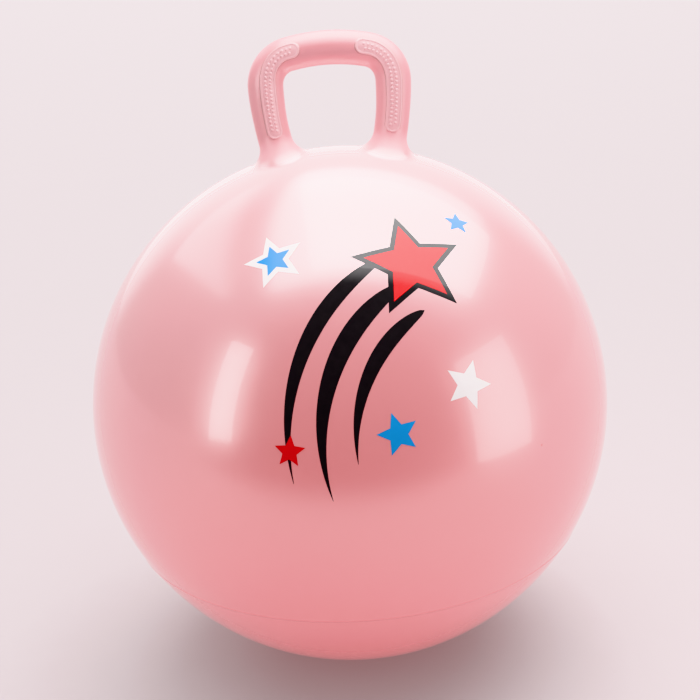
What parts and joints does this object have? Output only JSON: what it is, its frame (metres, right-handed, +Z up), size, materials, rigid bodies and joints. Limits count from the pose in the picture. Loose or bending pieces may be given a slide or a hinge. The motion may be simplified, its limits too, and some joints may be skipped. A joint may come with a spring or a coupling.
{
  "type": "hopper ball",
  "caption": "Inflated soft ball to sit and bounce on, with a closed loop handle on top that has raised grip panels, and a stopper valve at the back.",
  "frame": {"origin": "middle of the flat patch that the ball stands on", "axes": "+Z up through the ball's middle and the handle, the handle's loop in the XZ plane, -Y the front, +Y the side with the valve"},
  "size_m": [0.45, 0.451, 0.54],
  "materials": {
    "skin": "gloss",
    "handle": "satin",
    "bush": "satin",
    "plug": "satin"
  },
  "bodies": {
    "ball": {"ball_skin": "skin", "handle_loop": "handle", "valve_bush": "bush"},
    "stopper": {"valve_plug": "plug"}
  },
  "joints": [
    {"name": "stopper_pull", "type": "slide", "parent": "ball", "child": "stopper", "axis": [0, 1, 0], "range_m": [0, 0.025]}
  ]
}
